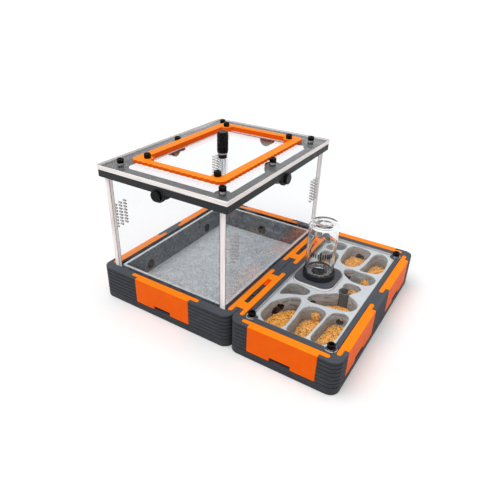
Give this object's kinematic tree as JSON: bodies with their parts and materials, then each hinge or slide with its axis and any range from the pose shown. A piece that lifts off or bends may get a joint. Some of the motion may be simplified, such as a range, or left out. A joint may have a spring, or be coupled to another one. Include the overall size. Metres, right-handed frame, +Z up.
{
  "type": "ant farm",
  "caption": "Two-module ant farm: glazed foraging arena with hatch lid beside a low covered nest with chambers and an inverted water vial, linked by gated seam plates.",
  "frame": {"origin": "middle of the footprint of both modules, on the table", "axes": "+X from the arena to the nest, +Y from the front to the back, +Z up"},
  "size_m": [0.198, 0.16, 0.1243],
  "materials": {
    "base_grey": "satin moulded, dark grey",
    "orange": "satin moulded, orange",
    "clear_sheet": "clear acrylic sheet",
    "basin_plaster": "matt cast plaster",
    "nest_plaster": "matt cast, pale grey",
    "black_frame": "satin moulded, near black",
    "black_fastener": "black oxide, satin",
    "plate_grey": "fine matt, charcoal",
    "black_cap": "satin, black",
    "substrate": "loose grains, orange brown",
    "sleeve_brown": "matt, dark grey brown",
    "felt": "pressed felt, off white",
    "vial_glass": "clear borosilicate glass",
    "stopper_rubber": "matt, black"
  },
  "bodies": {
    "farm": {"arena_base": "base_grey", "arena_basin": "basin_plaster", "front_wall": "clear_sheet", "back_wall": "clear_sheet", "left_wall": "clear_sheet", "right_wall": "clear_sheet", "top_collar": "black_frame", "lid_plate": "clear_sheet", "lid_screws": "black_fastener", "nest_base": "base_grey", "nest_block": "nest_plaster", "nest_substrate": "substrate", "tunnel_sleeve": "sleeve_brown", "humidifier_pad": "felt"},
    "knob_front": {"knob_front": "black_cap"},
    "knob_back": {"knob_back": "black_cap"},
    "knob_left": {"knob_left": "black_cap"},
    "knob_right": {"knob_right": "black_cap"},
    "hatch": {"hatch_frame": "orange", "hatch_pane": "clear_sheet", "hatch_screws": "black_fastener"},
    "feeder": {"feeder_cap": "black_cap", "feeder_tube": "clear_sheet"},
    "nest_lid": {"nest_cover": "clear_sheet", "cover_screws": "black_fastener", "humidifier_plate": "plate_grey", "humidifier_ring": "black_cap"},
    "vial": {"vial": "vial_glass", "vial_stopper": "stopper_rubber"},
    "link_front": {"link_front": "orange"},
    "link_back": {"link_back": "orange"},
    "gate_front": {"gate_front": "black_cap"},
    "gate_back": {"gate_back": "black_cap"},
    "arena_front_cover": {"arena_front_cover": "orange"},
    "arena_back_cover": {"arena_back_cover": "orange"},
    "arena_left_cover_front": {"arena_left_cover_front": "orange"},
    "arena_left_cover_back": {"arena_left_cover_back": "orange"},
    "nest_front_cover": {"nest_front_cover": "orange"},
    "nest_back_cover": {"nest_back_cover": "orange"},
    "nest_right_cover_front": {"nest_right_cover_front": "orange"},
    "nest_right_cover_back": {"nest_right_cover_back": "orange"}
  },
  "joints": [
    {"name": "hatch_lift", "type": "slide", "parent": "farm", "child": "hatch", "axis": [0, 0, 1], "range_m": [0, 0.04]},
    {"name": "feeder_lift", "type": "slide", "parent": "hatch", "child": "feeder", "axis": [0, 0, 1], "range_m": [0, 0.025]},
    {"name": "nest_lid_lift", "type": "slide", "parent": "farm", "child": "nest_lid", "axis": [0, 0, 1], "range_m": [0, 0.02]},
    {"name": "vial_lift", "type": "slide", "parent": "nest_lid", "child": "vial", "axis": [0, 0, 1], "range_m": [0, 0.03]},
    {"name": "arena_front_cover_lift", "type": "slide", "parent": "farm", "child": "arena_front_cover", "axis": [0, 0, 1], "range_m": [0, 0.025]},
    {"name": "arena_back_cover_lift", "type": "slide", "parent": "farm", "child": "arena_back_cover", "axis": [0, 0, 1], "range_m": [0, 0.025]},
    {"name": "arena_left_cover_front_lift", "type": "slide", "parent": "farm", "child": "arena_left_cover_front", "axis": [0, 0, 1], "range_m": [0, 0.025]},
    {"name": "arena_left_cover_back_lift", "type": "slide", "parent": "farm", "child": "arena_left_cover_back", "axis": [0, 0, 1], "range_m": [0, 0.025]},
    {"name": "nest_front_cover_lift", "type": "slide", "parent": "farm", "child": "nest_front_cover", "axis": [0, 0, 1], "range_m": [0, 0.025]},
    {"name": "nest_back_cover_lift", "type": "slide", "parent": "farm", "child": "nest_back_cover", "axis": [0, 0, 1], "range_m": [0, 0.025]},
    {"name": "nest_right_cover_front_lift", "type": "slide", "parent": "farm", "child": "nest_right_cover_front", "axis": [0, 0, 1], "range_m": [0, 0.025]},
    {"name": "nest_right_cover_back_lift", "type": "slide", "parent": "farm", "child": "nest_right_cover_back", "axis": [0, 0, 1], "range_m": [0, 0.025]},
    {"name": "link_front_lift", "type": "slide", "parent": "farm", "child": "link_front", "axis": [0, 0, 1], "range_m": [0, 0.025]},
    {"name": "gate_front_slide", "type": "slide", "parent": "link_front", "child": "gate_front", "axis": [0, 1, 0], "range_m": [0, 0.0084]},
    {"name": "link_back_lift", "type": "slide", "parent": "farm", "child": "link_back", "axis": [0, 0, 1], "range_m": [0, 0.025]},
    {"name": "gate_back_slide", "type": "slide", "parent": "link_back", "child": "gate_back", "axis": [0, 1, 0], "range_m": [0, 0.0084]},
    {"name": "knob_front_turn", "type": "hinge", "parent": "farm", "child": "knob_front", "pos_m": [-0.0398, -0.0758, 0.0996], "axis": [0, -1, 0], "continuous": true},
    {"name": "knob_back_turn", "type": "hinge", "parent": "farm", "child": "knob_back", "pos_m": [-0.0398, 0.0758, 0.0996], "axis": [0, 1, 0], "continuous": true},
    {"name": "knob_left_turn", "type": "hinge", "parent": "farm", "child": "knob_left", "pos_m": [-0.0948, 0, 0.0996], "axis": [-1, 0, 0], "continuous": true},
    {"name": "knob_right_turn", "type": "hinge", "parent": "farm", "child": "knob_right", "pos_m": [0.0152, 0, 0.0996], "axis": [1, 0, 0], "continuous": true}
  ]
}
